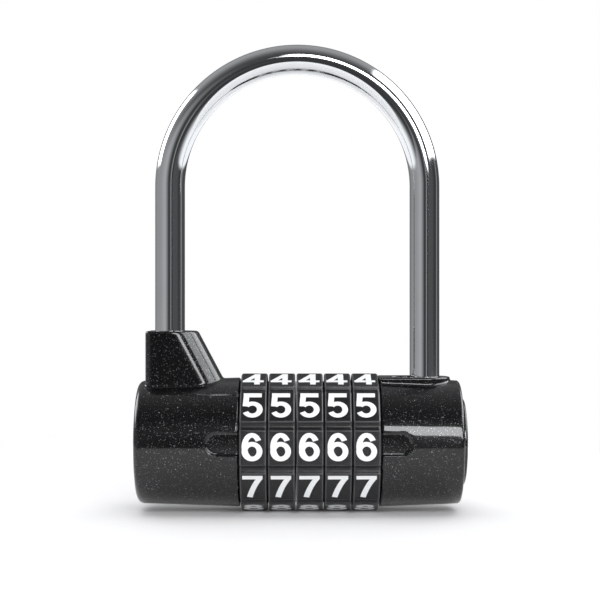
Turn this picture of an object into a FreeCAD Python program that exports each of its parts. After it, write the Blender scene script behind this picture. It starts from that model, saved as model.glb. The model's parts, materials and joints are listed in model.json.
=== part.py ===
"""Padlock with five number wheels: one STEP file per sub-part.

Millimetres. X runs along the barrel, -Y is the front, +Z is up.
Shapes are drawn about the barrel's axis and lifted onto the ground at export.
"""
import FreeCAD
import Part
import math
import os

# barrel
axis_height = 14.973
barrel_left = -35.95
barrel_right = 34.55
stack_left = -13.2
stack_right = 17.0
radius_left_end = 13.3
radius_right_end = 13.4
radius_at_wheels = 14.05
end_dome_radius = 140.0
left_rim = 1.2
right_rim = 0.6
inner_rim = 0.4
past = 1.0  # how far a cutter runs beyond the face it opens

# end disc
disc_top = 35.95
disc_radius = 9.5
disc_seat = 0.7
disc_dome_radius = 110.0
disc_rim = 0.5
disc_fit = 0.1
disc_glue = 0.05

# index recesses beside the wheels
index_floor = 13.25
index_half = 2.4
index_z = 0.8
index_left_x = -17.8
index_right_x = 21.2
index_outer = 16.0

# number wheels
wheel_count = 5
wheel_pitch = 6.0
wheel_mid = 1.9
wheel_width = 5.7
facets = 10
facet_apothem = 14.5
facet_groove_radius = 0.85
facet_groove_centre = 15.1
wheel_edge = 0.3
spline_root = 8.6
spline_tip = 9.3
spline_width = 1.6
spline_gap = 0.05

# spacer washers
washer_radius = 13.2
washer_half = 0.08
washer_notch_half = 1.3
washer_notch_top = 9.0

# core tube
tube_radius = 5.0
tube_fit = 0.02
tube_bore = 3.08
tube_left = -23.95
tube_right = 22.3
tube_bore_left = -22.4
lug_slot_left = -12.4
lug_slot_half = 1.1
leaf_slot_left = -12.9
leaf_slot_right = 16.9
leaf_slot_half = 1.0
leaf_slot_floor = -4.45
clip_groove_left = 17.05
clip_groove_right = 17.95
clip_groove_radius = 4.5

# clutch rings
ring_bore = 5.05
counterbore = 6.8
counterbore_length = 3.4
gate_width = 2.4
click_notch_radius = 0.5

# click spring
leaf_left = -12.8
leaf_right = 16.8
leaf_half = 0.85
leaf_bottom = -4.75
leaf_top = -4.5
bump_radius = 0.35
bump_half = 0.8
bump_offset = 1.7
bump_z = -4.98

# retaining ring
clip_left = 17.1
clip_right = 17.9
clip_outer = 6.8
clip_inner = 4.52
clip_gap_half = 1.5

# spindle and its screw
spindle_left = -16.9
spindle_radius = 3.0
spindle_shoulder = 22.65
tail_right = 29.4
tail_radius = 2.5
lug_width = 2.0
lug_tip = 6.4
lug_offset = -1.25
lug_length = 1.4
thread_left = 24.5
thread_radius = 1.5
screw_left = 25.0
screw_radius = 1.47
head_left = 31.25
head_right = 32.9
head_radius = 2.8
socket_radius = 1.25
socket_floor = 32.0
lift_ratio = 2.5  # shackle lift for each millimetre the right housing slides

# room for them in the right housing
clip_room_radius = 8.9
clip_room_right = 18.6
tube_room_radius = 5.3
tube_room_right = 22.7
tail_room_radius = 2.52
tail_room_right = 29.5
screw_room_radius = 1.6
head_room_radius = 3.0
head_room_left = 31.2

# coil springs
heel_wire = 0.35
heel_coil = 2.6
heel_coil_pitch = 1.1
heel_coil_length = 3.3
heel_coil_bottom = -11.5
spindle_wire = 0.4
spindle_coil = 2.4
spindle_coil_pitch = 1.5
spindle_coil_length = 4.5
spindle_coil_left = -21.95

# shackle
bar_radius = 3.25
heel_x = -28.65
toe_x = 27.06
arch_centre = 55.8
heel_bottom = -7.5
toe_bottom = 3.6
heel_chamfer = 0.5
toe_chamfer = 0.6
neck_bottom = -4.0
neck_top = 13.2
neck_radius = 2.25
heel_fit = 0.05
toe_fit = 0.09
heel_hole_floor = -12.0
heel_mouth_radius = 3.85
heel_mouth_depth = 0.55

# collar and pad
collar_half = 5.7
collar_flat = -33.6
collar_round = 5.6
collar_top = 24.3
collar_tip_top = -22.5
collar_slope = 0.532
collar_root = 8.0
collar_corner = 1.3
post_edge = 0.5
pad_half = 5.5
pad_top = 14.3

# pins
pin_radius = 0.98
pin_hole_radius = 1.0
pin_hole_front = -4.5
core_pin_x = -20.1
core_pin_z = -5.4
core_pin_front = -3.4
core_pin_back = 12.2
core_pin_stop = -3.5
heel_pin_x = -25.3
heel_pin_z = 12.0
heel_pin_front = -4.4
heel_pin_back = 5.4
latch_pin_x = 31.3
latch_pin_z = 8.3
latch_pin_radius = 0.74
latch_pin_hole = 0.76
latch_pin_back = 9.4

# latch
nose_tip = 28.4
nose_top = 11.0
latch_right = 32.3
latch_bottom = 5.6
latch_half = 2.2
latch_slot_left = 29.4
latch_fit = 0.05
latch_side_fit = 0.02
notch_gap = 0.25
notch_rise = 0.2
notch_reach = 4.0


def vec(x, y, z):
    return FreeCAD.Vector(x, y, z)


def bar_x(radius, x0, x1, y=0.0, z=0.0):
    """Round bar along X."""
    return Part.makeCylinder(radius, x1 - x0, vec(x0, y, z), vec(1, 0, 0))


def bar_y(radius, y0, y1, x, z):
    """Round bar along Y."""
    return Part.makeCylinder(radius, y1 - y0, vec(x, y0, z), vec(0, 1, 0))


def bar_z(radius, z0, z1, x, y=0.0):
    """Round bar along Z."""
    return Part.makeCylinder(radius, z1 - z0, vec(x, y, z0), vec(0, 0, 1))


def block(x0, x1, y0, y1, z0, z1):
    return Part.makeBox(x1 - x0, y1 - y0, z1 - z0, vec(x0, y0, z0))


def plate_y(points, half):
    """Polygon in the XZ plane, drawn out to both sides."""
    corners = [vec(x, -half, z) for x, z in points]
    corners.append(corners[0])
    return Part.Face(Part.makePolygon(corners)).extrude(vec(0, 2 * half, 0))


def about_axis(shape, angle):
    """Copy of a shape turned about the barrel's axis."""
    turned = shape.copy()
    turned.rotate(vec(0, 0, 0), vec(1, 0, 0), angle)
    return turned


def all_round(shape, count, skip=()):
    return [about_axis(shape, 360.0 / count * k) for k in range(count) if k not in skip]


def wheel_centre(number):
    return wheel_mid + (number - 1 - (wheel_count - 1) / 2.0) * wheel_pitch


def d_outline(x_flat, x_tip, half, depth, z):
    """D-shaped outline: flat at one end, bowed at the other."""
    a = vec(x_flat, -half, z)
    b = vec(x_tip - depth, -half, z)
    c = vec(x_tip, 0, z)
    d = vec(x_tip - depth, half, z)
    e = vec(x_flat, half, z)
    front = Part.makeLine(a, b)
    bow = Part.Arc(b, c, d).toShape()
    back = Part.makeLine(d, e)
    flat = Part.makeLine(e, a)
    return Part.Wire([front, bow, back, flat])


def edges_where(shape, test):
    return [e for e in shape.Edges if test(e)]


def index_recess(x_open, x_round):
    """Shallow pocket beside the wheels, round at its outer end."""
    low = min(x_open, x_round)
    high = max(x_open, x_round)
    slab = block(low, high, -index_outer, -index_floor, index_z - index_half, index_z + index_half)
    return slab.fuse(bar_y(index_half, -index_outer, -index_floor, x_round, index_z))


def collar():
    """Tall post for the heel: upright outside, raked towards the wheels."""
    rake = (collar_top - collar_root) * collar_slope
    foot = d_outline(collar_flat, collar_tip_top + rake, collar_half, collar_round, collar_root)
    head = d_outline(collar_flat, collar_tip_top, collar_half, collar_round, collar_top)
    post = Part.makeLoft([foot, head], True, True)
    upright = edges_where(post, lambda e: e.BoundBox.XMax < collar_flat + 0.01 and e.BoundBox.ZLength > 1)
    post = post.makeFillet(collar_corner, upright)
    rim = edges_where(post, lambda e: e.BoundBox.ZMin > collar_top - 0.01)
    return post.makeFillet(post_edge, rim)


def left_housing():
    """Left end of the barrel with the collar, bored for the heel and the core tube."""
    length = stack_left - barrel_left
    barrel = Part.makeCone(radius_left_end, radius_at_wheels, length, vec(barrel_left, 0, 0), vec(1, 0, 0))
    dome = Part.makeSphere(end_dome_radius, vec(barrel_left + end_dome_radius, 0, 0), vec(1, 0, 0))
    barrel = barrel.common(dome)
    outer = edges_where(barrel, lambda e: e.BoundBox.XMax < barrel_left + 1.5 and e.BoundBox.YLength > 20)
    barrel = barrel.makeFillet(left_rim, outer)
    inner = edges_where(barrel, lambda e: e.BoundBox.XMin > stack_left - 0.01)
    barrel = barrel.makeFillet(inner_rim, inner)
    body = barrel.fuse(collar()).removeSplitter()
    body = body.cut(bar_x(tube_radius + tube_fit, tube_left - 0.05, stack_left + past))
    heel_hole = bar_radius + heel_fit
    body = body.cut(bar_z(heel_hole, heel_hole_floor, collar_top + past, heel_x))
    mouth_base = vec(heel_x, 0, collar_top - heel_mouth_depth)
    body = body.cut(Part.makeCone(heel_hole, heel_mouth_radius, heel_mouth_depth, mouth_base))
    body = body.cut(index_recess(stack_left + past, index_left_x))
    outside = radius_at_wheels + past
    body = body.cut(bar_y(pin_hole_radius, core_pin_stop, outside, core_pin_x, core_pin_z))
    return body.cut(bar_y(pin_hole_radius, pin_hole_front, outside, heel_pin_x, heel_pin_z))


def core_tube():
    """Fixed tube the wheels turn on, slotted for the lugs and the click spring."""
    tube = bar_x(tube_radius, tube_left, tube_right)
    outside = tube_radius + past
    tube = tube.cut(bar_x(tube_bore, tube_bore_left, tube_right + past))
    tube = tube.cut(block(lug_slot_left, tube_right + past, -lug_slot_half, lug_slot_half, 0, outside))
    tube = tube.cut(bar_y(pin_hole_radius + tube_fit, -outside, outside, core_pin_x, core_pin_z))
    groove = bar_x(outside, clip_groove_left, clip_groove_right)
    groove = groove.cut(bar_x(clip_groove_radius, clip_groove_left - past, clip_groove_right + past))
    tube = tube.cut(groove)
    half = leaf_slot_half
    return tube.cut(block(leaf_slot_left, leaf_slot_right, -half, half, -outside, leaf_slot_floor))


def core_pin():
    return bar_y(pin_radius, core_pin_front, core_pin_back, core_pin_x, core_pin_z)


def heel_pin():
    return bar_y(pin_radius, heel_pin_front, heel_pin_back, heel_pin_x, heel_pin_z)


def coil(wire, mean_radius, pitch, height, start, along):
    """Round-wire compression spring along an axis."""
    path = Part.makeHelix(pitch, height, mean_radius)
    profile = Part.Wire([Part.makeCircle(wire, vec(mean_radius, 0, 0), vec(0, 1, 0))])
    spring = Part.Wire(path.Edges).makePipeShell([profile], True, True)
    if along == "x":
        spring.rotate(vec(0, 0, 0), vec(0, 1, 0), 90)
    spring.translate(start)
    return spring


def heel_spring():
    start = vec(heel_x, 0, heel_coil_bottom)
    return coil(heel_wire, heel_coil, heel_coil_pitch, heel_coil_length, start, "z")


def spindle_spring():
    start = vec(spindle_coil_left, 0, 0)
    return coil(spindle_wire, spindle_coil, spindle_coil_pitch, spindle_coil_length, start, "x")


def click_spring():
    """Leaf in the tube's slot with one rounded bump under each wheel."""
    leaf = block(leaf_left, leaf_right, -leaf_half, leaf_half, leaf_bottom, leaf_top)
    for number in range(1, wheel_count + 1):
        middle = wheel_centre(number) + bump_offset
        leaf = leaf.fuse(bar_x(bump_radius, middle - bump_half, middle + bump_half, 0, bump_z))
    return leaf.removeSplitter()


def spacer_washers():
    """Thin discs in every gap of the stack, notched for the lugs."""
    gaps = [wheel_centre(number) - wheel_pitch / 2.0 for number in range(2, wheel_count + 1)]
    first = (stack_left + wheel_centre(1) - wheel_width / 2.0) / 2.0
    last = (stack_right + wheel_centre(wheel_count) + wheel_width / 2.0) / 2.0
    washers = []
    for middle in [first] + gaps + [last]:
        low = middle - past
        high = middle + past
        washer = bar_x(washer_radius, middle - washer_half, middle + washer_half)
        washer = washer.cut(bar_x(ring_bore, low, high))
        notch = block(low, high, -washer_notch_half, washer_notch_half, 0, washer_notch_top)
        washers.append(washer.cut(notch))
    return Part.makeCompound(washers)


def retaining_ring():
    """Open ring that keeps the wheels on the tube."""
    low = clip_left - past
    high = clip_right + past
    ring = bar_x(clip_outer, clip_left, clip_right).cut(bar_x(clip_inner, low, high))
    return ring.cut(block(low, high, -clip_gap_half, clip_gap_half, 0, clip_outer + past))


def number_wheel(number):
    """Ten flats with a scooped groove between neighbours, splined inside."""
    x0 = wheel_centre(number) - wheel_width / 2.0
    x1 = x0 + wheel_width
    corner = facet_apothem / math.cos(math.pi / facets)
    points = []
    for k in range(facets + 1):
        angle = math.pi / facets + 2 * math.pi * k / facets
        points.append(vec(x0, -corner * math.cos(angle), corner * math.sin(angle)))
    wheel = Part.Face(Part.makePolygon(points)).extrude(vec(wheel_width, 0, 0))
    half_turn = 180.0 / facets
    scoop = bar_x(facet_groove_radius, x0 - past, x1 + past, -facet_groove_centre, 0)
    scoop = about_axis(scoop, half_turn)
    for cutter in all_round(scoop, facets):
        wheel = wheel.cut(cutter)
    rims = edges_where(wheel, lambda e: e.BoundBox.XLength < 0.01)
    wheel = wheel.makeChamfer(wheel_edge, rims)
    wheel = wheel.cut(bar_x(spline_root + spline_gap, x0 - past, x1 + past))
    half = spline_width / 2.0 + spline_gap
    slot = block(x0 - past, x1 + past, -half, half, 0, spline_tip + spline_gap)
    for cutter in all_round(slot, facets):
        wheel = wheel.cut(cutter)
    return wheel


def clutch_ring(number):
    """Splined ring with the gate for its lug and the click notches."""
    x0 = wheel_centre(number) - wheel_width / 2.0
    x1 = x0 + wheel_width
    flange = x0 + counterbore_length
    ring = bar_x(spline_root, x0, x1)
    half = spline_width / 2.0
    tooth = block(x0, x1, -half, half, spline_root - past, spline_tip)
    for piece in all_round(tooth, facets):
        ring = ring.fuse(piece)
    ring = ring.cut(bar_x(counterbore, x0 - past, flange))
    ring = ring.cut(bar_x(ring_bore, x0 - past, x1 + past))
    gate = block(flange - past, x1 + past, -gate_width / 2.0, gate_width / 2.0, 0, counterbore)
    ring = ring.cut(gate)
    notch = bar_x(click_notch_radius, x0 - past, x1 + past, 0, ring_bore)
    for cutter in all_round(notch, facets, skip=(0,)):
        ring = ring.cut(cutter)
    return ring.removeSplitter()


def toe_hole():
    """Room for the toe at rest and on its slanted way out of the sliding housing."""
    radius = bar_radius + toe_fit
    floor = toe_bottom - toe_fit
    rise = pad_top + past - floor
    shift = rise / lift_ratio
    upright = bar_z(radius, floor, floor + rise, toe_x)
    disc = Part.Face(Part.Wire([Part.makeCircle(radius, vec(toe_x, 0, floor))]))
    slanted = disc.extrude(vec(-shift, 0, rise))
    between = plate_y([(toe_x, floor), (toe_x, floor + rise), (toe_x - shift, floor + rise)], radius)
    return upright.fuse(slanted).fuse(between)


def pad():
    """Low pad on the barrel, rounded about the toe."""
    foot = d_outline(stack_right, toe_x + pad_half, pad_half, pad_half, collar_root)
    body = Part.Face(foot).extrude(vec(0, 0, pad_top - collar_root))
    rim = edges_where(body, lambda e: e.BoundBox.ZMin > pad_top - 0.01 and e.BoundBox.XMax > stack_right + 1)
    return body.makeFillet(post_edge, rim)


def right_housing():
    """Right end of the barrel with the pad, the toe's hole and the latch's slot."""
    length = barrel_right - stack_right
    barrel = Part.makeCone(radius_at_wheels, radius_right_end, length, vec(stack_right, 0, 0), vec(1, 0, 0))
    outer = edges_where(barrel, lambda e: e.BoundBox.XMin > barrel_right - 0.01)
    barrel = barrel.makeFillet(right_rim, outer)
    inner = edges_where(barrel, lambda e: e.BoundBox.XMax < stack_right + 0.01)
    barrel = barrel.makeFillet(inner_rim, inner)
    body = barrel.fuse(pad()).removeSplitter()
    start = stack_right - past
    body = body.cut(bar_x(clip_room_radius, start, clip_room_right))
    body = body.cut(bar_x(tube_room_radius, start, tube_room_right))
    body = body.cut(bar_x(tail_room_radius, start, tail_room_right))
    body = body.cut(bar_x(screw_room_radius, start, barrel_right))
    body = body.cut(bar_x(head_room_radius, head_room_left, barrel_right))
    body = body.cut(bar_x(disc_radius + disc_fit, barrel_right - disc_seat, barrel_right + past))
    body = body.cut(toe_hole())
    side = latch_half + latch_side_fit
    low = latch_bottom - latch_fit
    high = nose_top + latch_fit
    body = body.cut(block(latch_slot_left, latch_right + latch_fit, -side, side, low, high))
    body = body.cut(bar_y(latch_pin_hole, pin_hole_front, radius_at_wheels, latch_pin_x, latch_pin_z))
    return body.cut(index_recess(start, index_right_x))


def spindle():
    """Sliding rod with a lug for each wheel."""
    rod = bar_x(spindle_radius, spindle_left, spindle_shoulder)
    rod = rod.fuse(bar_x(tail_radius, spindle_shoulder - past, tail_right))
    for number in range(1, wheel_count + 1):
        x0 = wheel_centre(number) + lug_offset
        lug = block(x0, x0 + lug_length, -lug_width / 2.0, lug_width / 2.0, 0, lug_tip)
        rod = rod.fuse(lug)
    return rod.cut(bar_x(thread_radius, thread_left, tail_right + past)).removeSplitter()


def spindle_screw():
    """Screw holding the right housing on the spindle, hexagon socket in its head."""
    screw = bar_x(screw_radius, screw_left, head_right).fuse(bar_x(head_radius, head_left, head_right))
    corners = []
    for k in range(7):
        angle = math.pi * k / 3
        corners.append(vec(socket_floor, socket_radius * math.cos(angle), socket_radius * math.sin(angle)))
    socket = Part.Face(Part.makePolygon(corners)).extrude(vec(head_right - socket_floor + past, 0, 0))
    return screw.cut(socket).removeSplitter()


def latch_block():
    """Steel wedge whose nose sits in the toe's notch."""
    rise = nose_top - latch_bottom
    outline = [
        (nose_tip, nose_top),
        (latch_right, nose_top),
        (latch_right, latch_bottom),
        (nose_tip + rise / lift_ratio, latch_bottom),
    ]
    pin_hole = bar_y(latch_pin_hole, -latch_half - past, latch_half + past, latch_pin_x, latch_pin_z)
    return plate_y(outline, latch_half).cut(pin_hole)


def latch_pin():
    return bar_y(latch_pin_radius, heel_pin_front, latch_pin_back, latch_pin_x, latch_pin_z)


def end_disc():
    """Low dome in the right end."""
    disc = bar_x(disc_radius, barrel_right - disc_seat + disc_glue, disc_top)
    dome = Part.makeSphere(disc_dome_radius, vec(disc_top - disc_dome_radius, 0, 0), vec(1, 0, 0))
    disc = disc.common(dome)
    rim = edges_where(disc, lambda e: e.BoundBox.XMin > barrel_right and e.BoundBox.YLength > 10)
    return disc.makeFillet(disc_rim, rim)


def shackle():
    """Bent bar: necked heel on the left, notched toe on the right."""
    centre_x = (heel_x + toe_x) / 2.0
    heel = bar_z(bar_radius, heel_bottom, arch_centre, heel_x)
    toe = bar_z(bar_radius, toe_bottom, arch_centre, toe_x)
    heel_end = edges_where(heel, lambda e: e.BoundBox.ZMax < heel_bottom + 0.01)
    heel = heel.makeChamfer(heel_chamfer, heel_end)
    toe_end = edges_where(toe, lambda e: e.BoundBox.ZMax < toe_bottom + 0.01)
    toe = toe.makeChamfer(toe_chamfer, toe_end)
    disc = Part.Face(Part.Wire([Part.makeCircle(bar_radius, vec(toe_x, 0, arch_centre))]))
    arch = disc.revolve(vec(centre_x, 0, arch_centre), vec(0, 1, 0), -180)
    bar = heel.fuse(arch).fuse(toe)
    neck = bar_z(bar_radius + past, neck_bottom, neck_top, heel_x)
    bar = bar.cut(neck.cut(bar_z(neck_radius, neck_bottom - past, neck_top + past, heel_x)))
    tip = nose_tip - notch_gap
    top = nose_top + notch_rise
    side = tip + notch_reach
    notch = plate_y([(tip, top), (side, top), (side, top - notch_reach * lift_ratio)], bar_radius + past)
    return bar.cut(notch)


def save(name, shape):
    placed = shape.copy()
    placed.translate(vec(0, 0, axis_height))
    placed.exportStep("parts/" + name + ".step")
    box = placed.BoundBox
    print(name, len(placed.Solids), "solid(s)", placed.isValid(), round(placed.Volume, 1), "mm3",
          [round(v, 2) for v in (box.XMin, box.YMin, box.ZMin, box.XMax, box.YMax, box.ZMax)])


def main():
    os.makedirs("parts", exist_ok=True)
    save("left_housing", left_housing())
    save("core_tube", core_tube())
    save("core_pin", core_pin())
    save("heel_pin", heel_pin())
    save("heel_spring", heel_spring())
    save("spindle_spring", spindle_spring())
    save("click_spring", click_spring())
    save("spacer_washers", spacer_washers())
    save("retaining_ring", retaining_ring())
    for number in range(1, wheel_count + 1):
        save("number_wheel_%d" % number, number_wheel(number))
        save("clutch_ring_%d" % number, clutch_ring(number))
    save("right_housing", right_housing())
    save("spindle", spindle())
    save("spindle_screw", spindle_screw())
    save("latch_block", latch_block())
    save("latch_pin", latch_pin())
    save("end_disc", end_disc())
    save("shackle", shackle())


main()
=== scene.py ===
import json
import math
import bmesh
import bpy
import numpy as np
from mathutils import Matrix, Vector


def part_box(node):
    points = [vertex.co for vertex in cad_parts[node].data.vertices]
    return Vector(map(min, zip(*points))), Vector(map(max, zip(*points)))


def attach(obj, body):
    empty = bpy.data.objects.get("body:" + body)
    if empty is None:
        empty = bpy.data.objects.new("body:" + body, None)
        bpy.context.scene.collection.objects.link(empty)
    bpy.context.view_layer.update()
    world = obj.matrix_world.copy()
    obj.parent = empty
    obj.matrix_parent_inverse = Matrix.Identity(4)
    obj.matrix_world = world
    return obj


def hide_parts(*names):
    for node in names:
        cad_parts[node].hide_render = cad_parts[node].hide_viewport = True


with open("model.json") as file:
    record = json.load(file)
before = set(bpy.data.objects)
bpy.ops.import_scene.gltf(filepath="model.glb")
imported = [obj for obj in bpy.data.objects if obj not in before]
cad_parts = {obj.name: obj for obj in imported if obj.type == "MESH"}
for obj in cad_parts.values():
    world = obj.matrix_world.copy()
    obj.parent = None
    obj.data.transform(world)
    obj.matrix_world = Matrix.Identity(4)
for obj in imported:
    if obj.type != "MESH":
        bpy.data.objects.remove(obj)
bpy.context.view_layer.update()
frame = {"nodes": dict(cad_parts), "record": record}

mm = 0.001
print("frame loaded with", len(frame["nodes"]), "nodes")


# places taken from the frame, in millimetres

def nodeSpan(name):
    low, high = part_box(name)
    return np.array(low) / mm, np.array(high) / mm


wheelNames = sorted(n for n in frame["nodes"] if n.startswith("number_wheel_"))
firstLow, firstHigh = nodeSpan(wheelNames[0])
leftLow, leftHigh = nodeSpan("left_housing")
rightLow, rightHigh = nodeSpan("right_housing")
shackleLow, shackleHigh = nodeSpan("shackle")
axisZ = (firstLow[2] + firstHigh[2]) / 2  # height of the barrel's axis
barRadius = 3.25
liftRatio = 2.5  # shackle lift for each millimetre the right housing slides
heelX = shackleLow[0] + barRadius
toeX = shackleHigh[0] - barRadius


# small tools

def roundMax(a, b, radius):
    # corner of two surfaces, rounded outside
    u = np.maximum(a + radius, 0)
    v = np.maximum(b + radius, 0)
    return np.minimum(-radius, np.maximum(a, b)) + np.hypot(u, v)


def roundMin(a, b, radius):
    # two surfaces joined with a fillet
    u = np.maximum(radius - a, 0)
    v = np.maximum(radius - b, 0)
    return np.maximum(radius, np.minimum(a, b)) - np.hypot(u, v)


def addPiece(name, points, faces, material, body, stands=()):
    # points are in millimetres, in the row frame
    mesh = bpy.data.meshes.new(name)
    mesh.from_pydata((np.asarray(points) * mm).tolist(), [], faces)
    mesh.validate()
    mesh.polygons.foreach_set("use_smooth", [True] * len(mesh.polygons))
    mesh.update()
    piece = bpy.data.objects.new(name, mesh)
    bpy.context.scene.collection.objects.link(piece)
    mesh.materials.append(material)
    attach(piece, body)
    if stands:
        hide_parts(*stands)
    return piece


def skinRings(rings, closed=False):
    # rings is (count, around, 3); neighbours are joined with quads, and open ends get a cap
    count, around = rings.shape[:2]
    faces = []
    for i in range(count if closed else count - 1):
        here = i * around
        there = ((i + 1) % count) * around
        for j in range(around):
            k = (j + 1) % around
            faces.append((here + j, here + k, there + k, there + j))
    if not closed:
        faces.append(tuple(reversed(range(around))))
        faces.append(tuple((count - 1) * around + j for j in range(around)))
    return rings.reshape(-1, 3), faces


def setMask(piece, name, values):
    # one number on each point, read by the material
    layer = piece.data.attributes.new(name, "FLOAT", "POINT")
    layer.data.foreach_set("value", np.asarray(values, np.float32))


# shader tools, and the groups used by more than one material

def newGroup(name, inputs, outputs):
    tree = bpy.data.node_groups.new(name, "ShaderNodeTree")
    for label, kind, value in inputs:
        socket = tree.interface.new_socket(name=label, in_out="INPUT", socket_type=kind)
        if value is not None:
            socket.default_value = value
    for label, kind in outputs:
        tree.interface.new_socket(name=label, in_out="OUTPUT", socket_type=kind)
    return tree, tree.nodes.new("NodeGroupInput"), tree.nodes.new("NodeGroupOutput")


def mathNode(tree, operation, a, b):
    node = tree.nodes.new("ShaderNodeMath")
    node.operation = operation
    for index, value in enumerate((a, b)):
        if isinstance(value, float):
            node.inputs[index].default_value = value
        else:
            tree.links.new(value, node.inputs[index])
    return node.outputs[0]


def step(tree, value, start, end):
    # 0 at start, 1 at end, smooth between; start may be the larger one
    node = tree.nodes.new("ShaderNodeMapRange")
    node.interpolation_type = "SMOOTHSTEP"
    node.inputs["From Min"].default_value = start
    node.inputs["From Max"].default_value = end
    tree.links.new(value, node.inputs["Value"])
    return node.outputs[0]


def blend(tree, factor, a, b):
    # a where factor is 0, b where it is 1
    node = tree.nodes.new("ShaderNodeMix")
    tree.links.new(factor, node.inputs["Factor"])
    for socket, value in ((node.inputs["A"], a), (node.inputs["B"], b)):
        if isinstance(value, float):
            socket.default_value = value
        else:
            tree.links.new(value, socket)
    return node.outputs["Result"]


def product(tree, *values):
    result = values[0]
    for value in values[1:]:
        result = mathNode(tree, "MULTIPLY", result, value)
    return result


def noiseNode(tree, vector, scale, detail, roughness):
    node = tree.nodes.new("ShaderNodeTexNoise")
    tree.links.new(vector, node.inputs["Vector"])
    tree.links.new(scale, node.inputs["Scale"])
    node.inputs["Detail"].default_value = detail
    node.inputs["Roughness"].default_value = roughness
    return node.outputs["Fac"]


flakeReach = 0.42  # part of its cell that a flake fills
flakeContrast = 2.2  # higher makes bright flakes rarer


def makeFlecks():
    # fine metal flakes scattered in paint
    tree, given, result = newGroup(
        "metalFlecks",
        [("Vector", "NodeSocketVector", None), ("Scale", "NodeSocketFloat", 4000.0),
         ("Share", "NodeSocketFloat", 0.3)],
        [("Mask", "NodeSocketFloat"), ("Glint", "NodeSocketFloat")])
    cells = tree.nodes.new("ShaderNodeTexVoronoi")
    tree.links.new(given.outputs["Vector"], cells.inputs["Vector"])
    tree.links.new(given.outputs["Scale"], cells.inputs["Scale"])
    parts = tree.nodes.new("ShaderNodeSeparateColor")
    tree.links.new(cells.outputs["Color"], parts.inputs[0])
    chosen = mathNode(tree, "LESS_THAN", parts.outputs[0], given.outputs["Share"])
    core = mathNode(tree, "LESS_THAN", cells.outputs["Distance"], flakeReach)
    mask = mathNode(tree, "MULTIPLY", chosen, core)
    glint = mathNode(tree, "MULTIPLY", mask, mathNode(tree, "POWER", parts.outputs[1], flakeContrast))
    tree.links.new(mask, result.inputs["Mask"])
    tree.links.new(glint, result.inputs["Glint"])
    return tree


def makeSkin():
    # slow waviness and fine grain of a finished metal surface
    tree, given, result = newGroup(
        "surfaceSkin",
        [("Vector", "NodeSocketVector", None), ("Wave Scale", "NodeSocketFloat", 300.0),
         ("Grain Scale", "NodeSocketFloat", 4000.0), ("Grain", "NodeSocketFloat", 0.3)],
        [("Height", "NodeSocketFloat"), ("Patch", "NodeSocketFloat")])
    wave = noiseNode(tree, given.outputs["Vector"], given.outputs["Wave Scale"], 1.0, 0.5)
    grain = noiseNode(tree, given.outputs["Vector"], given.outputs["Grain Scale"], 2.0, 0.6)
    mixed = mathNode(tree, "ADD", wave, mathNode(tree, "MULTIPLY", grain, given.outputs["Grain"]))
    tree.links.new(mixed, result.inputs["Height"])
    tree.links.new(wave, result.inputs["Patch"])
    return tree


def makeMarks():
    # fine parallel tool marks with broken, uneven depth
    tree, given, result = newGroup(
        "toolMarks",
        [("Vector", "NodeSocketVector", None), ("Scale", "NodeSocketFloat", 2500.0),
         ("Stretch", "NodeSocketFloat", 0.04)],
        [("Height", "NodeSocketFloat")])
    parts = tree.nodes.new("ShaderNodeSeparateXYZ")
    tree.links.new(given.outputs["Vector"], parts.inputs[0])
    joined = tree.nodes.new("ShaderNodeCombineXYZ")
    tree.links.new(parts.outputs[0], joined.inputs[0])
    for axis in (1, 2):
        squeezed = mathNode(tree, "MULTIPLY", parts.outputs[axis], given.outputs["Stretch"])
        tree.links.new(squeezed, joined.inputs[axis])
    fine = noiseNode(tree, joined.outputs[0], given.outputs["Scale"], 3.0, 0.65)
    tree.links.new(fine, result.inputs["Height"])
    return tree


flecks = makeFlecks()
skin = makeSkin()
marks = makeMarks()
print("shader groups ready")


# materials

def startMaterial(name):
    material = bpy.data.materials.new(name)
    material.use_nodes = True
    tree = material.node_tree
    tree.nodes.clear()
    shader = tree.nodes.new("ShaderNodeBsdfPrincipled")
    output = tree.nodes.new("ShaderNodeOutputMaterial")
    tree.links.new(shader.outputs[0], output.inputs["Surface"])
    place = tree.nodes.new("ShaderNodeTexCoord")
    return material, tree, shader, place.outputs["Object"]


def useGroup(tree, group, vector, **values):
    node = tree.nodes.new("ShaderNodeGroup")
    node.node_tree = group
    tree.links.new(vector, node.inputs["Vector"])
    for label, value in values.items():
        node.inputs[label.replace("_", " ")].default_value = value
    return node


def addSkin(tree, place, waves, grain, share):
    return useGroup(tree, skin, place, Wave_Scale=waves, Grain_Scale=grain, Grain=share)


def addBump(tree, shader, height, distance):
    bump = tree.nodes.new("ShaderNodeBump")
    bump.inputs["Strength"].default_value = 1.0
    bump.inputs["Distance"].default_value = distance
    tree.links.new(height, bump.inputs["Height"])
    tree.links.new(bump.outputs[0], shader.inputs["Normal"])


def mixColors(tree, factor, a, b):
    node = tree.nodes.new("ShaderNodeMix")
    node.data_type = "RGBA"
    tree.links.new(factor, node.inputs["Factor"])
    for socket, value in ((node.inputs["A"], a), (node.inputs["B"], b)):
        if isinstance(value, tuple):
            socket.default_value = (*value, 1.0)
        else:
            tree.links.new(value, socket)
    return node.outputs["Result"]


def spread(tree, value, low, high):
    # a 0 to 1 value moved to low to high
    node = tree.nodes.new("ShaderNodeMapRange")
    node.inputs["To Min"].default_value = low
    node.inputs["To Max"].default_value = high
    tree.links.new(value, node.inputs["Value"])
    return node.outputs[0]


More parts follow.
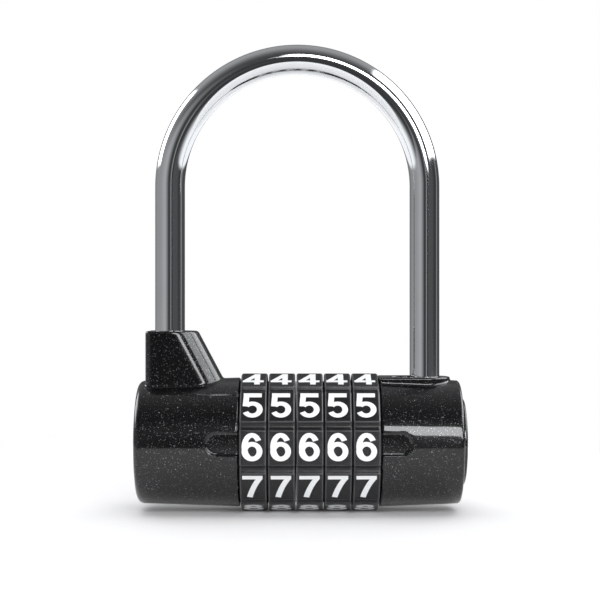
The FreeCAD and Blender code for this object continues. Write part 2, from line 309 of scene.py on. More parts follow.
housingPaint = {
    "base": (0.0014, 0.0014, 0.0016),
    "fleck": (0.24, 0.245, 0.255),
    "fleckScale": 5600.0,
    "fleckShare": 0.24,
    "coarseScale": 3600.0,
    "coarseShare": 0.04,
    "roughness": (0.3, 0.4),
    "metallic": 0.85,
    "specular": 0.12,
    "coat": 0.85,
    "coatRoughness": 0.05,
    "coatIor": 1.55,
    "skin": (420.0, 2600.0, 0.25),
    "bump": 0.000006,
}


def makeHousingPaint(name, settings):
    material, tree, shader, place = startMaterial(name)
    flake = useGroup(tree, flecks, place, Scale=settings["fleckScale"], Share=settings["fleckShare"])
    coarse = useGroup(tree, flecks, place, Scale=settings["coarseScale"], Share=settings["coarseShare"])
    body = addSkin(tree, place, *settings["skin"])
    first = mixColors(tree, flake.outputs["Glint"], settings["base"], settings["fleck"])
    second = mixColors(tree, coarse.outputs["Glint"], first, settings["fleck"])
    tree.links.new(second, shader.inputs["Base Color"])
    metal = mathNode(tree, "MULTIPLY", flake.outputs["Mask"], settings["metallic"])
    tree.links.new(metal, shader.inputs["Metallic"])
    tree.links.new(spread(tree, body.outputs["Patch"], *settings["roughness"]), shader.inputs["Roughness"])
    shader.inputs["Specular IOR Level"].default_value = settings["specular"]
    shader.inputs["Coat Weight"].default_value = settings["coat"]
    shader.inputs["Coat Roughness"].default_value = settings["coatRoughness"]
    shader.inputs["Coat IOR"].default_value = settings["coatIor"]
    addBump(tree, shader, body.outputs["Height"], settings["bump"])
    return material


# wheel paint: near-black, with a lighter grey that is painted highlight on the rounded rims and groove lips,
# broken into patches like wear
wheelPaint = {
    "base": (0.005, 0.005, 0.0054),
    "sheenAndWearColour": (0.12, 0.122, 0.13),
    "sheenAndWearPatches": (0.25, 1.0),
    "fleck": (0.2, 0.2, 0.21),
    "fleckScale": 6500.0,
    "fleckShare": 0.2,
    "fleckStrength": 0.35,
    "roughness": (0.3, 0.4),
    "skin": (500.0, 5200.0, 0.6),
    "bump": 0.000012,
}


def makeWheelPaint():
    material, tree, shader, place = startMaterial("wheelPaint")
    body = addSkin(tree, place, *wheelPaint["skin"])
    flake = useGroup(tree, flecks, place, Scale=wheelPaint["fleckScale"], Share=wheelPaint["fleckShare"])
    edge = tree.nodes.new("ShaderNodeAttribute")
    edge.attribute_name = "rim"
    patches = spread(tree, body.outputs["Patch"], *wheelPaint["sheenAndWearPatches"])
    # the rim mask times noise patches: painted highlight, patchy like wear, lightens the paint here
    sheenAndWearMask = mathNode(tree, "MULTIPLY", edge.outputs["Fac"], patches)
    speck = mathNode(tree, "MULTIPLY", flake.outputs["Glint"], wheelPaint["fleckStrength"])
    color = mixColors(tree, sheenAndWearMask, wheelPaint["base"], wheelPaint["sheenAndWearColour"])
    tree.links.new(mixColors(tree, speck, color, wheelPaint["fleck"]), shader.inputs["Base Color"])
    tree.links.new(spread(tree, body.outputs["Patch"], *wheelPaint["roughness"]), shader.inputs["Roughness"])
    addBump(tree, shader, body.outputs["Height"], wheelPaint["bump"])
    return material


digitPaint = {
    "base": (0.8, 0.81, 0.82),
    "shade": (0.7, 0.71, 0.73),
    "roughness": (0.4, 0.55),
    "skin": (700.0, 6000.0, 0.5),
    "bump": 0.00001,
}


def makeDigitPaint():
    material, tree, shader, place = startMaterial("digitPaint")
    body = addSkin(tree, place, *digitPaint["skin"])
    patches = spread(tree, body.outputs["Patch"], 0.0, 0.5)
    color = mixColors(tree, patches, digitPaint["base"], digitPaint["shade"])
    tree.links.new(color, shader.inputs["Base Color"])
    tree.links.new(spread(tree, body.outputs["Patch"], *digitPaint["roughness"]), shader.inputs["Roughness"])
    addBump(tree, shader, body.outputs["Height"], digitPaint["bump"])
    return material


chromePlate = {
    "base": (0.74, 0.75, 0.765),
    "deep": (0.68, 0.69, 0.705),
    "roughness": (0.035, 0.09),
    "skin": (160.0, 5000.0, 0.12),
    "bump": 0.000008,
}


def makeChromePlate():
    material, tree, shader, place = startMaterial("chromePlate")
    body = addSkin(tree, place, *chromePlate["skin"])
    color = mixColors(tree, body.outputs["Patch"], chromePlate["base"], chromePlate["deep"])
    tree.links.new(color, shader.inputs["Base Color"])
    shader.inputs["Metallic"].default_value = 1.0
    tree.links.new(spread(tree, body.outputs["Patch"], *chromePlate["roughness"]), shader.inputs["Roughness"])
    addBump(tree, shader, body.outputs["Height"], chromePlate["bump"])
    return material


# the machined inner parts; scale is that of the tool marks
turnedMetals = {
    "steel": {"name": "turnedSteel", "base": (0.52, 0.52, 0.54), "dark": (0.38, 0.38, 0.4),
              "roughness": (0.22, 0.4), "scale": 2500.0},
    "spring_steel": {"name": "springWire", "base": (0.36, 0.36, 0.38), "dark": (0.24, 0.24, 0.26),
                     "roughness": (0.2, 0.34), "scale": 4000.0},
    "brass": {"name": "turnedBrass", "base": (0.72, 0.56, 0.26), "dark": (0.55, 0.41, 0.17),
              "roughness": (0.2, 0.38), "scale": 2500.0},
}
turning = {"stretch": 0.03, "skin": (350.0, 4000.0, 0.3), "bump": 0.00002}


def makeTurnedMetal(metal):
    material, tree, shader, place = startMaterial(metal["name"])
    cut = useGroup(tree, marks, place, Scale=metal["scale"], Stretch=turning["stretch"])
    body = addSkin(tree, place, *turning["skin"])
    color = mixColors(tree, body.outputs["Patch"], metal["base"], metal["dark"])
    tree.links.new(color, shader.inputs["Base Color"])
    shader.inputs["Metallic"].default_value = 1.0
    tree.links.new(spread(tree, cut.outputs["Height"], *metal["roughness"]), shader.inputs["Roughness"])
    addBump(tree, shader, cut.outputs["Height"], turning["bump"])
    return material


# dull black sheet punched into washers
washerPlastic = {
    "base": (0.004, 0.004, 0.0045),
    "pale": (0.009, 0.009, 0.01),
    "roughness": (0.6, 0.8),
    "skin": (600.0, 7000.0, 0.8),
    "bump": 0.00001,
}


def makeWasherPlastic():
    material, tree, shader, place = startMaterial("washerPlastic")
    body = addSkin(tree, place, *washerPlastic["skin"])
    color = mixColors(tree, body.outputs["Patch"], washerPlastic["base"], washerPlastic["pale"])
    tree.links.new(color, shader.inputs["Base Color"])
    roughness = spread(tree, body.outputs["Patch"], *washerPlastic["roughness"])
    tree.links.new(roughness, shader.inputs["Roughness"])
    addBump(tree, shader, body.outputs["Height"], washerPlastic["bump"])
    return material


housingFinish = makeHousingPaint("housingPaint", housingPaint)
discFinish = makeHousingPaint("discPaint", dict(housingPaint, fleckShare=0.36))
wheelFinish = makeWheelPaint()
digitFinish = makeDigitPaint()
chromeFinish = makeChromePlate()
innerFinish = {slotName: makeTurnedMetal(metal) for slotName, metal in turnedMetals.items()}
innerFinish["washer_plastic"] = makeWasherPlastic()
print("materials ready")


# the two housings

barrel = {
    "leftRadius": 13.3,
    "rightRadius": 13.4,
    "wheelRadius": 14.05,
    "domeRadius": 140.0,
    "leftRim": 1.2,
    "rightRim": 0.6,
    "innerRim": 0.4,
}
discRecess = {"radius": 9.6, "depth": 0.7, "edge": 0.2}
collar = {
    "half": 5.7,
    "flat": 2.35,
    "tipReach": 13.45,
    "rake": 0.532,
    "corner": 1.3,
    "topEdge": 0.5,
    "fillet": 0.4,
    "root": 3,
    "hole": 3.3,
    "holeFloor": -3,
    "holeEdge": 0.35,
}
pad = {
    "half": 5.5,
    "top": 14.3,
    "edge": 0.35,
    "fillet": 0.4,
    "root": 3,
    "corner": 0.1,
    "hole": 3.34,
    "holeFloor": 3.5,
    "holeEdge": 0.3,
    "slotLength": 6,  # the hole runs out towards the wheels, as far as the cap slides
}
recess = {
    "half": 2.4,
    "up": 0.8,
    "floor": 13.25,
    "leftLength": 4.6,
    "rightLength": 4.2,
    "edge": 0.22,
    "corner": 0.25,
}


def barrelField(x, radial, end, endRadius, rim, facing):
    # tapered round body: facing is -1 for the left housing and 1 for the right one
    stackFace = leftHigh[0] if facing < 0 else rightLow[0]
    along = (x - stackFace) * facing
    length = abs(end - stackFace)
    taper = (barrel["wheelRadius"] - endRadius) / length
    side = (radial - barrel["wheelRadius"] + taper * along) / math.hypot(1, taper)
    if facing < 0:
        domeX = end + barrel["domeRadius"]
        tip = np.hypot(x - domeX, radial) - barrel["domeRadius"]
    else:
        tip = x - end
    shape = roundMax(side, tip, rim)
    return roundMax(shape, -along, barrel["innerRim"])


def roundedPlan(x, y, flatX, tipX, half, corner):
    # outline seen from above: flat on the left, a half circle ending at tipX on the right
    centre = tipX - half
    sides = np.where(x > centre, np.hypot(x - centre, y), np.abs(y)) - half
    return roundMax(sides, flatX - x, corner)


def indexField(x, y, z, openX, roundX):
    # pocket beside the wheels: open towards them, round at the far end
    low, high = min(openX, roundX), max(openX, roundX)
    beside = np.maximum(np.maximum(low - x, x - high), 0)
    sides = np.hypot(beside, z - recess["up"]) - recess["half"]
    return roundMax(sides, y + recess["floor"], recess["corner"])


def leftField(p):
    x, y, z = p[:, 0], p[:, 1], p[:, 2] - axisZ
    radial = np.hypot(y, z)
    shape = barrelField(x, radial, leftLow[0], barrel["leftRadius"], barrel["leftRim"], -1)
    top = leftHigh[2] - axisZ
    flatX = leftLow[0] + collar["flat"]
    tipX = leftLow[0] + collar["tipReach"] + (top - z) * collar["rake"]
    plan = roundedPlan(x, y, flatX, tipX, collar["half"], collar["corner"])
    post = roundMax(plan, z - top, collar["topEdge"])
    shape = roundMin(shape, np.maximum(post, collar["root"] - z), collar["fillet"])
    bore = collar["hole"] - np.hypot(x - heelX, y)
    shape = roundMax(shape, np.minimum(bore, z - collar["holeFloor"]), collar["holeEdge"])
    pocket = indexField(x, y, z, leftHigh[0] + 1, leftHigh[0] - recess["leftLength"])
    return roundMax(shape, -pocket, recess["edge"])


def rightField(p):
    x, y, z = p[:, 0], p[:, 1], p[:, 2] - axisZ
    radial = np.hypot(y, z)
    shape = barrelField(x, radial, rightHigh[0], barrel["rightRadius"], barrel["rightRim"], 1)
    plan = roundedPlan(x, y, rightLow[0], toeX + pad["half"], pad["half"], pad["corner"])
    raised = roundMax(plan, z - pad["top"], pad["edge"])
    shape = roundMin(shape, np.maximum(raised, pad["root"] - z), pad["fillet"])
    depth = z - pad["holeFloor"]
    drift = np.clip(depth / liftRatio, 0, pad["slotLength"])
    beside = np.maximum(np.maximum(toeX - drift - x, x - toeX), 0)
    hole = pad["hole"] - np.hypot(beside, y)
    shape = roundMax(shape, np.minimum(hole, depth), pad["holeEdge"])
    sink = np.maximum(radial - discRecess["radius"], rightHigh[0] - discRecess["depth"] - x)
    shape = roundMax(shape, -sink, discRecess["edge"])
    pocket = indexField(x, y, z, rightLow[0] - 1, rightLow[0] + recess["rightLength"])
    return roundMax(shape, -pocket, recess["edge"])


shellMesh = {"voxel": 0.25, "reach": 0.42, "passes": 6, "probe": 0.02, "sameWay": 0.35}


def settle(points, normals, field):
    # moves points near the surface exactly onto it, if they face the same way
    probe = shellMesh["probe"]
    for _ in range(shellMesh["passes"]):
        value = field(points)
        slope = np.empty_like(points)
        for axis in range(3):
            nudge = np.zeros(3)
            nudge[axis] = probe
            slope[:, axis] = (field(points + nudge) - field(points - nudge)) / (2 * probe)
        size = np.maximum(np.linalg.norm(slope, axis=1), 1e-6)
        facing = (slope * normals).sum(1) / size
        close = (np.abs(value) < shellMesh["reach"]) & (facing > shellMesh["sameWay"])
        move = np.where(close, value / size, 0)
        points = points - slope / size[:, None] * move[:, None]
    return points


def makeShell(nodeName, pieceName, field, body):
    # the CAD solid remeshed evenly, then settled on its smooth outer form
    source = frame["nodes"][nodeName]
    draft = bpy.data.objects.new("draft", source.data.copy())
    bpy.context.scene.collection.objects.link(draft)
    remesh = draft.modifiers.new("Remesh", "REMESH")
    remesh.mode = "VOXEL"
    remesh.voxel_size = shellMesh["voxel"] * mm
    deps = bpy.context.evaluated_depsgraph_get()
    mesh = bpy.data.meshes.new_from_object(draft.evaluated_get(deps))
    count = len(mesh.vertices)
    points = np.empty(count * 3)
    mesh.vertices.foreach_get("co", points)
    normals = np.empty(count * 3)
    mesh.vertices.foreach_get("normal", normals)
    faces = [tuple(f.vertices) for f in mesh.polygons]
    settled = settle(points.reshape(-1, 3) / mm, normals.reshape(-1, 3), field)
    bpy.data.objects.remove(draft)
    addPiece(pieceName, settled, faces, housingFinish, body, [nodeName])


makeShell("left_housing", "left_shell", leftField, "left_body")
makeShell("right_housing", "right_shell", rightField, "cap")
print("housings made")


# end disc

endDisc = {
    "radius": 9.5,
    "edge": 0.5,
    "domeRadius": 110.0,
    "tip": 0.02,
    "around": 128,
    "edgeSteps": 8,
    "domeSteps": 14,
}


def makeEndDisc():
    low, high = nodeSpan("end_disc")
    radius, edge, dome, tip = (endDisc[key] for key in ("radius", "edge", "domeRadius", "tip"))
    profile = [(low[0], tip), (low[0], radius)]
    rimX = high[0] - (radius - edge) ** 2 / (2 * dome)
    for turn in np.linspace(0, math.pi / 2, endDisc["edgeSteps"] + 1):
        profile.append((rimX - edge + edge * math.sin(turn), radius - edge + edge * math.cos(turn)))
    for r in np.linspace(radius - edge, tip, endDisc["domeSteps"] + 1)[1:]:
        profile.append((high[0] - r * r / (2 * dome), r))
    turns = np.linspace(0, 2 * math.pi, endDisc["around"], endpoint=False)
    rings = np.array([[(x, r * math.sin(t), axisZ + r * math.cos(t)) for t in turns] for x, r in profile])
    points, faces = skinRings(rings)
    addPiece("end_disc_dome", points, faces, discFinish, "cap", ["end_disc"])


makeEndDisc()


# number wheels

wheel = {
    "apothem": 14.5,
    "flats": 10,
    "scoopRadius": 0.85,
    "scoopCentre": 15.1,
    "lip": 0.3,
    "edge": 0.42,
    "bore": 8.65,
    "spline": 9.35,
    "splineWidth": 1.7,
    "boreChamfer": 0.25,
    "perFlat": 56,
    "edgeSteps": 6,
    "midSteps": 6,
    # how strongly the rounded rims and the groove lips get painted highlight
    "rimSheenStrength": 0.9,
    "lipSheenStrength": 0.6,
    "lipAt": 0.062,  # painted highlight band along each groove's lip: its place from the groove's middle, and half the band's width, both in radians
    "lipWidth": 0.012,
}


def wheelRadius(turns, inset):
    # outline of the wheel at each angle, moved in by inset
    sector = 2 * math.pi / wheel["flats"]
    inSector = (turns + sector / 2) % sector - sector / 2
    low = np.full(np.broadcast(turns, inset).shape, wheel["apothem"] - 2.5)
    high = np.full_like(low, wheel["apothem"] + 2.5)
    for _ in range(36):
        middle = (low + high) / 2
        flat = middle * np.cos(inSector) - wheel["apothem"]
        away = sector / 2 - np.abs(inSector)
        centre = wheel["scoopCentre"]
        scoop = np.sqrt(middle ** 2 + centre ** 2 - 2 * middle * centre * np.cos(away))
        outside = roundMax(flat, wheel["scoopRadius"] - scoop, wheel["lip"]) + inset > 0
        high = np.where(outside, middle, high)
        low = np.where(outside, low, middle)
    return (low + high) / 2


def makeWheel(number, nodeName):
    low, high = nodeSpan(nodeName)
    count = wheel["flats"] * wheel["perFlat"]
    turns = np.linspace(0, 2 * math.pi, count, endpoint=False)
    edge = wheel["edge"]
    sector = 2 * math.pi / wheel["flats"]
    upright = (turns - math.pi / 2 + sector / 2) % sector - sector / 2
    teeth = np.abs(upright) * wheel["bore"] < wheel["splineWidth"] / 2
    bore = np.where(teeth, wheel["spline"], wheel["bore"])
    # across the wheel: place, inset of the outline, amount of painted highlight and wear
    stations = []
    for turn in np.linspace(0, math.pi / 2, wheel["edgeSteps"] + 1):
        x = low[0] + edge * (1 - math.cos(turn))
        stations.append((x, edge * (1 - math.sin(turn)), math.sin(2 * turn)))
    middle = (low[0] + high[0]) / 2
    inner = [(x, 0.0, 0.0) for x in np.linspace(low[0] + edge, high[0] - edge, wheel["midSteps"] + 1)[1:-1]]
    mirrored = [(2 * middle - x, inset, sheenAndWear) for x, inset, sheenAndWear in reversed(stations)]
    across = stations + inner + mirrored
    rings = []
    sheenAndWear = []
    chamfer = wheel["boreChamfer"]
    chamfered = [(low[0] + chamfer, bore), (low[0], bore + chamfer)]
    for x, radius in chamfered:
        rings.append((x, radius))
        sheenAndWear.append(0.0)
    for x, inset, amount in across:
        rings.append((x, wheelRadius(turns, inset)))
        sheenAndWear.append(amount)
    for x, radius in reversed(chamfered):
        rings.append((2 * middle - x, radius))
        sheenAndWear.append(0.0)
    points = np.empty((len(rings), count, 3))
    for i, (x, radius) in enumerate(rings):
        points[i, :, 0] = x
        points[i, :, 1] = -radius * np.cos(turns)
        points[i, :, 2] = axisZ + radius * np.sin(turns)
    skinPoints, faces = skinRings(points, closed=True)
    piece = addPiece(f"wheel_shell_{number}", skinPoints, faces, wheelFinish,
                     f"wheel_{number}", [nodeName])
    # the rim mask: painted highlight on the rounded edges and in a band along each groove's lip
    toGroove = sector / 2 - np.abs((turns + sector / 2) % sector - sector / 2)
    lipSheenAndWear = np.clip(1 - np.abs(wheel["lipAt"] - toGroove) / wheel["lipWidth"], 0, 1)
    rimSheenAndWear = np.array(sheenAndWear)[:, None] * wheel["rimSheenStrength"]
    setMask(piece, "rim", np.maximum(rimSheenAndWear, lipSheenAndWear[None, :] * wheel["lipSheenStrength"]).ravel())


digits = {
    "height": 6.05,
    "width": 4.5,
    "stroke": 0.16,  # as a share of the height
    "rise": 0.05,
    "sink": 0.12,
    "front": 6,  # the digit that faces the front at rest
    "aside": -0.15,
    "up": 0.25,
}
numeralBox = np.array([0.6, 1.0])


def arc(x, y, across, tall, start, end, steps=26):
    turns = np.radians(np.linspace(start, end, steps))
    return np.stack([x + across * np.cos(turns), y + tall * np.sin(turns)], 1)


def bend(first, control, last, steps=16):
    t = np.linspace(0, 1, steps)[:, None]
    return (1 - t) ** 2 * np.array(first) + 2 * t * (1 - t) * np.array(control) + t ** 2 * np.array(last)


def oval(x, y, across, tall):
    return arc(x, y, across, tall, 0, 360, 49)


# centre lines of the numerals in a box 0.6 wide and 1 high
sixLines = [arc(0.3, 0.5, 0.21, 0.41, 32, 268), oval(0.3, 0.345, 0.21, 0.255)]
numeralLines = {
    0: [oval(0.3, 0.5, 0.21, 0.41)],
    1: [[(0.36, 0.0), (0.36, 1.0)], [(0.12, 0.75), (0.38, 0.83)]],
    2: [arc(0.3, 0.7, 0.21, 0.21, 165, -28), [(0.5, 0.65), (0.13, 0.12)], [(0.02, 0.085), (0.58, 0.085)]],
    3: [arc(0.29, 0.735, 0.185, 0.175, 160, -90), arc(0.29, 0.285, 0.215, 0.195, 90, -160)],
    4: [[(0.41, 0.0), (0.41, 1.0)], [(0.0, 0.3), (0.6, 0.3)], [(0.4, 0.95), (0.07, 0.3)]],
    5: [[(0.05, 0.92), (0.56, 0.92)], [(0.135, 0.97), (0.105, 0.47)],
        arc(0.3, 0.335, 0.21, 0.245, 143, -155)],
    6: sixLines,
    7: [[(0.02, 0.92), (0.59, 0.92)], bend((0.52, 0.9), (0.33, 0.56), (0.22, 0.0))],
    8: [oval(0.3, 0.735, 0.175, 0.175), oval(0.3, 0.285, 0.21, 0.195)],
    9: [numeralBox - line for line in sixLines],
}


def strokeSolid(line):
    # one pen stroke as a thin closed bar: x across, y up, z -0.5 to 0.5
    line = np.array(line, float)
    looped = np.allclose(line[0], line[-1])
    if looped:
        line = line[:-1]
        along = np.roll(line, -1, 0) - np.roll(line, 1, 0)
    else:
        along = np.gradient(line, axis=0)
    along /= np.linalg.norm(along, axis=1)[:, None]
    beside = np.stack([-along[:, 1], along[:, 0]], 1) * digits["stroke"] / 2
    count = len(line)
    rings = np.empty((count, 4, 3))
    for k, (side, level) in enumerate(((1, 0.5), (-1, 0.5), (-1, -0.5), (1, -0.5))):
        rings[:, k, :2] = line + side * beside
        rings[:, k, 2] = level
    return skinRings(rings, closed=looped)


def makeNumeral(lines):
    # the strokes of one numeral joined into one solid
    holders = []
    for line in lines:
        points, faces = strokeSolid(line)
        mesh = bpy.data.meshes.new("stroke")
        mesh.from_pydata(points.tolist(), [], faces)
        shell = bmesh.new()
        shell.from_mesh(mesh)
        bmesh.ops.recalc_face_normals(shell, faces=shell.faces)
        shell.to_mesh(mesh)
        shell.free()
        holder = bpy.data.objects.new("stroke", mesh)
        bpy.context.scene.collection.objects.link(holder)
        holders.append(holder)
    for other in holders[1:]:
        union = holders[0].modifiers.new("Union", "BOOLEAN")
        union.operation = "UNION"
        union.solver = "EXACT"
        union.object = other
    deps = bpy.context.evaluated_depsgraph_get()
    mesh = bpy.data.meshes.new_from_object(holders[0].evaluated_get(deps))
    points = np.array([v.co for v in mesh.vertices])
    faces = [tuple(f.vertices) for f in mesh.polygons]
    for holder in holders:
        bpy.data.objects.remove(holder)
    size = np.array([digits["width"], digits["height"]])
    points[:, :2] = (points[:, :2] / numeralBox - 0.5) * size + (digits["aside"], digits["up"])
    return points, faces


numerals = {value: makeNumeral(lines) for value, lines in numeralLines.items()}


def makeDigits(number, nodeName):
    low, high = nodeSpan(nodeName)
    middle = np.array([(low[0] + high[0]) / 2, 0, axisZ])
    allPoints = []
    allFaces = []
    for value, (points, faces) in numerals.items():
        turn = 2 * math.pi / wheel["flats"] * (digits["front"] - value)
        outward = np.array([0, -math.cos(turn), math.sin(turn)])
        upward = np.array([0, math.sin(turn), math.cos(turn)])
        depth = np.where(points[:, 2] > 0, digits["rise"], -digits["sink"]) + wheel["apothem"]
        placed = middle + points[:, 1:2] * upward + depth[:, None] * outward
        placed[:, 0] += points[:, 0]
        start = sum(len(p) for p in allPoints)
        allPoints.append(placed)
        allFaces += [tuple(start + i for i in face) for face in faces]
    piece = addPiece(f"digits_{number}", np.concatenate(allPoints), allFaces, digitFinish,
                     f"wheel_{number}")
    piece.data.polygons.foreach_set("use_smooth", [False] * len(piece.data.polygons))


for number, nodeName in enumerate(wheelNames, 1):
    makeWheel(number, nodeName)
    makeDigits(number, nodeName)
print("wheels and digits made")


# shackle

bar = {
    "heelChamfer": 0.5,
    "neckRadius": 2.25,
    "neck": (-4.0, 13.2),  # heights above the barrel's axis, as for noseTop and toeBottom
    "neckEdge": 0.15,
    "noseTop": 11.2,
    "noseTip": 1.09,  # deepest point of the notch, out from the toe's middle
    "toeBottom": 3.6,
    "toeChamfer": 0.6,
    "tip": 0.02,
    "around": 64,
    "archSteps": 120,
    "legSteps": 24,
    "neckSteps": 8,
    "notchSteps": 30,
}


def makeShackle():
    radius, neckRadius, edge, tip = barRadius, bar["neckRadius"], bar["neckEdge"], bar["tip"]
    centreX = (heelX + toeX) / 2
    archRadius = (toeX - heelX) / 2
    archZ = shackleHigh[2] - radius - archRadius
    bottom, chamfer = shackleLow[2], bar["heelChamfer"]
    neckLow, neckHigh = (axisZ + z for z in bar["neck"])
    heel = [(bottom, tip), (bottom, radius - chamfer), (bottom + chamfer, radius)]
    heel += [(neckLow - edge, radius), (neckLow, radius - edge), (neckLow, neckRadius)]
    heel += [(z, neckRadius) for z in np.linspace(neckLow, neckHigh, bar["neckSteps"] + 1)[1:-1]]
    heel += [(neckHigh, neckRadius), (neckHigh, radius - edge), (neckHigh + edge, radius)]
    heel += [(z, radius) for z in np.linspace(neckHigh, archZ, bar["legSteps"] + 1)[1:-1]]
    stations = [(Vector((heelX, 0, z)), Vector((1, 0, 0)), r) for z, r in heel]
    for turn in np.linspace(0, math.pi, bar["archSteps"] + 1):
        outward = Vector((-math.cos(turn), 0, math.sin(turn)))
        stations.append((Vector((centreX, 0, archZ)) + outward * archRadius, -outward, radius))
    bottom, chamfer = axisZ + bar["toeBottom"], bar["toeChamfer"]
    noseTop = axisZ + bar["noseTop"]
    toe = [(z, radius) for z in np.linspace(archZ, noseTop + chamfer, bar["legSteps"])[1:]]
    toe += [(noseTop + 0.01, radius), (noseTop, radius)]
    toe += [(z, radius) for z in np.linspace(noseTop, bottom + chamfer, bar["notchSteps"])[1:]]
    toe += [(bottom, radius - chamfer), (bottom, tip)]
    stations += [(Vector((toeX, 0, z)), Vector((-1, 0, 0)), r) for z, r in toe]
    turns = np.linspace(0, 2 * math.pi, bar["around"], endpoint=False)
    rings = np.empty((len(stations), len(turns), 3))
    for i, (centre, inward, r) in enumerate(stations):
        side = np.outer(np.cos(turns), np.array(inward)) + np.outer(np.sin(turns), (0.0, 1.0, 0.0))
        rings[i] = np.array(centre) + r * side
    points, faces = skinRings(rings)
    # the latch's notch on the outer side of the toe
    reach = toeX + bar["noseTip"] + (noseTop - points[:, 2]) / liftRatio
    onToe = (points[:, 0] > centreX) & (points[:, 2] < noseTop + 0.005)
    points[:, 0] = np.where(onToe, np.minimum(points[:, 0], reach), points[:, 0])
    addPiece("shackle_bar", points, faces, chromeFinish, "shackle", ["shackle"])


makeShackle()
print("shackle made")


# inner parts keep their CAD shape

slotOf = {s["node"]: s["material_slot"] for s in frame["record"]["subparts"]}
replaced = {"left_housing", "right_housing", "end_disc", "shackle", *wheelNames}
for name, node in frame["nodes"].items():
    if name in replaced:
        continue
    node.data.materials.clear()
    node.data.materials.append(innerFinish[slotOf[name]])
print("inner parts finished")


# floor, light and camera

paper = {
    "pale": (0.86, 0.86, 0.865),
    "shade": (0.847, 0.847, 0.852),
    "roughness": 0.9,
    "specular": 0.1,
    "skin": (6.0, 900.0, 0.3),
    "half": 0.8,
    "fadeFrom": 0.1,
    "fadeTo": 0.2,
}
lamps = {
    "top": {"place": (0, 0.05, 0.75), "target": (0, 0, 0), "size": (1.1, 0.9), "power": 3.9},
    "back": {"place": (0, 0.6, 0.35), "target": (0, 0, 0), "size": (1.2, 0.5), "power": 2.4},
    "front": {"place": (0.1, -0.7, 0.3), "target": (0, 0, 0.03), "size": (0.7, 0.5), "power": 5.0},
}
lens = {"place": (-0.0002, -0.325, 0.046), "length": 89.04, "sensor": 36.0, "near": 0.01}


def makeFloor():
    half = paper["half"]
    mesh = bpy.data.meshes.new("floor")
    corners = [(-half, -half, 0), (half, -half, 0), (half, half, 0), (-half, half, 0)]
    mesh.from_pydata(corners, [], [(0, 1, 2, 3)])
    floor = bpy.data.objects.new("floor", mesh)
    bpy.context.scene.collection.objects.link(floor)
    material, tree, shader, place = startMaterial("floorPaper")
    grain = addSkin(tree, place, *paper["skin"])
    color = mixColors(tree, grain.outputs["Patch"], paper["pale"], paper["shade"])
    tree.links.new(color, shader.inputs["Base Color"])
    shader.inputs["Roughness"].default_value = paper["roughness"]
    shader.inputs["Specular IOR Level"].default_value = paper["specular"]
    # the paper fades away with distance, so that no horizon shows
    away = tree.nodes.new("ShaderNodeVectorMath")
    away.operation = "LENGTH"
    tree.links.new(place, away.inputs[0])
    fade = step(tree, away.outputs["Value"], paper["fadeTo"], paper["fadeFrom"])
    tree.links.new(fade, shader.inputs["Alpha"])
    mesh.materials.append(material)


def addLight(name, place, target, size, power):
    # soft light only: shiny surfaces see the room below instead of the lamps
    data = bpy.data.lights.new(name, "AREA")
    data.shape = "RECTANGLE"
    data.size, data.size_y = size
    data.energy = power
    lamp = bpy.data.objects.new(name, data)
    lamp.location = place
    lamp.rotation_euler = (Vector(target) - Vector(place)).to_track_quat("-Z", "Y").to_euler()
    lamp.visible_glossy = False
    lamp.visible_camera = False
    bpy.context.scene.collection.objects.link(lamp)


room = {
    # brightness seen level with the object at each heading: -180 to 180 degrees, 0 is the front
    "level": [(-180, 0.12), (-145, 0.24), (-120, 0.35), (-70, 0.38), (-48, 0.46), (-34, 0.5),
              (-24, 0.36), (-12, 0.15), (-7, 0.06), (0, 0.05), (4, 0.11), (9.5, 0.13), (10.5, 0.5),
              (12.5, 0.5), (13.5, 0.07), (20, 0.04), (27, 0.1), (60, 0.095), (78, 0.05), (98, 0.08),
              (102, 0.33), (107, 0.33), (111, 0.08), (150, 0.09), (168, 0.16), (180, 0.12)],
    "ceiling": 0.34,
    "ceilingLow": 0.075,
    "box": 5.0,
    "strip": 10.0,
    "ground": 1.3,
    "groundFar": 0.05,
    "rest": 0.42,
    "tint": (0.97, 0.985, 1, 1),
}
# where each part of the room starts and ends: front is 1 towards the front and -1 behind, height is 1
# straight up, side is 1 on the right, and lean is the angle from straight up towards the right
places = {
    "ceilingFront": (0.85, -0.3),
    "ceilingBack": (-0.98, -0.62),
    "ceilingHeight": (0.22, 0.6),
    "rightBox": {"lean": ((0.52, 0.6), (1.3, 1.24)), "front": ((0.62, 0.56), (-0.62, -0.56))},
    "leftBox": {"lean": ((-0.74, -0.8), (-1.36, -1.3)), "front": ((0.0, -0.1), (-0.66, -0.6))},
    "stripFront": ((0.82, 0.84), (0.955, 0.94)),
    "stripHeight": (0.12, 0.2),
    "stripSide": (-0.05, 0.01),
    "groundFront": (0.3, 0.9),
    "groundSteep": (-0.36, -0.42),
    "groundHeight": (-0.05, -0.11),
}


def softBox(tree, lean, front, limits):
    edges = [step(tree, lean, *edge) for edge in limits["lean"]]
    edges += [step(tree, front, *edge) for edge in limits["front"]]
    return product(tree, *edges)


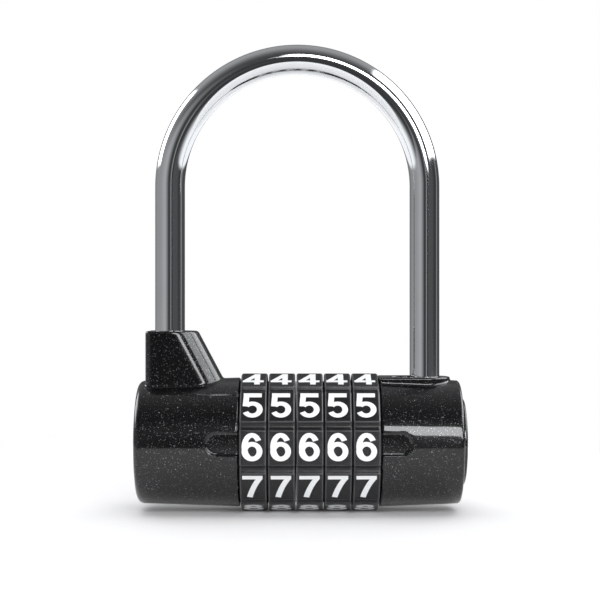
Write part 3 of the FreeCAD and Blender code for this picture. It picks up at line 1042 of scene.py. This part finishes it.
def makeWorld():
    # what shiny surfaces see: a grey room with soft boxes and a strip; the camera itself sees plain white
    world = bpy.data.worlds.new("studio")
    world.use_nodes = True
    tree = world.node_tree
    tree.nodes.clear()
    place = tree.nodes.new("ShaderNodeTexCoord")
    parts = tree.nodes.new("ShaderNodeSeparateXYZ")
    tree.links.new(place.outputs["Generated"], parts.inputs[0])
    x, y, z = parts.outputs
    front = mathNode(tree, "MULTIPLY", y, -1.0)
    heading = mathNode(tree, "ARCTAN2", x, front)
    spot = mathNode(tree, "ADD", mathNode(tree, "DIVIDE", heading, 2 * math.pi), 0.5)
    ramp = tree.nodes.new("ShaderNodeValToRGB")
    tree.links.new(spot, ramp.inputs[0])
    stops = ramp.color_ramp.elements
    while len(stops) < len(room["level"]):
        stops.new(0.5)
    for stop, (angle, value) in zip(stops, room["level"]):
        stop.position = angle / 360 + 0.5
        stop.color = (value, value, value, 1)
    light = mathNode(tree, "ADD", ramp.outputs[0], 0.0)  # colour to plain number
    ceiling = mathNode(tree, "MULTIPLY", step(tree, front, *places["ceilingFront"]), room["ceiling"])
    ceiling = mathNode(tree, "MULTIPLY", ceiling, step(tree, front, *places["ceilingBack"]))
    ceiling = mathNode(tree, "ADD", ceiling, room["ceilingLow"])
    light = blend(tree, step(tree, z, *places["ceilingHeight"]), light, ceiling)
    # the soft boxes left and right, above the level of the object
    lean = mathNode(tree, "ARCTAN2", x, z)
    right = softBox(tree, lean, front, places["rightBox"])
    left = softBox(tree, lean, front, places["leftBox"])
    light = blend(tree, mathNode(tree, "MAXIMUM", right, left), light, room["box"])
    # the long strip above the camera, on the right half only
    strip = [step(tree, front, *edge) for edge in places["stripFront"]]
    strip += [step(tree, z, *places["stripHeight"]), step(tree, x, *places["stripSide"])]
    light = blend(tree, product(tree, *strip), light, room["strip"])
    # below: dark far away in front, pale elsewhere
    ground = blend(tree, step(tree, front, *places["groundFront"]), room["ground"], room["groundFar"])
    ground = blend(tree, step(tree, z, *places["groundSteep"]), ground, room["ground"])
    light = blend(tree, step(tree, z, *places["groundHeight"]), light, ground)
    seen = tree.nodes.new("ShaderNodeBackground")
    seen.inputs["Color"].default_value = (1, 1, 1, 1)
    seen.inputs["Strength"].default_value = 1.0
    mirrored = tree.nodes.new("ShaderNodeBackground")
    mirrored.inputs["Color"].default_value = room["tint"]
    rays = tree.nodes.new("ShaderNodeLightPath")
    strength = blend(tree, rays.outputs["Is Glossy Ray"], room["rest"], light)
    tree.links.new(strength, mirrored.inputs["Strength"])
    mix = tree.nodes.new("ShaderNodeMixShader")
    output = tree.nodes.new("ShaderNodeOutputWorld")
    tree.links.new(rays.outputs["Is Camera Ray"], mix.inputs[0])
    tree.links.new(mirrored.outputs[0], mix.inputs[1])
    tree.links.new(seen.outputs[0], mix.inputs[2])
    tree.links.new(mix.outputs[0], output.inputs[0])
    bpy.context.scene.world = world


makeFloor()
makeWorld()
for name, lamp in lamps.items():
    addLight(name, **lamp)

cameraData = bpy.data.cameras.new("camera")
cameraData.lens = lens["length"]
cameraData.sensor_width = lens["sensor"]
cameraData.clip_start = lens["near"]
camera = bpy.data.objects.new("camera", cameraData)
camera.location = lens["place"]
camera.rotation_euler = (math.pi / 2, 0, 0)
bpy.context.scene.collection.objects.link(camera)
bpy.context.scene.camera = camera
bpy.context.scene.view_settings.view_transform = "Standard"
print("studio ready")
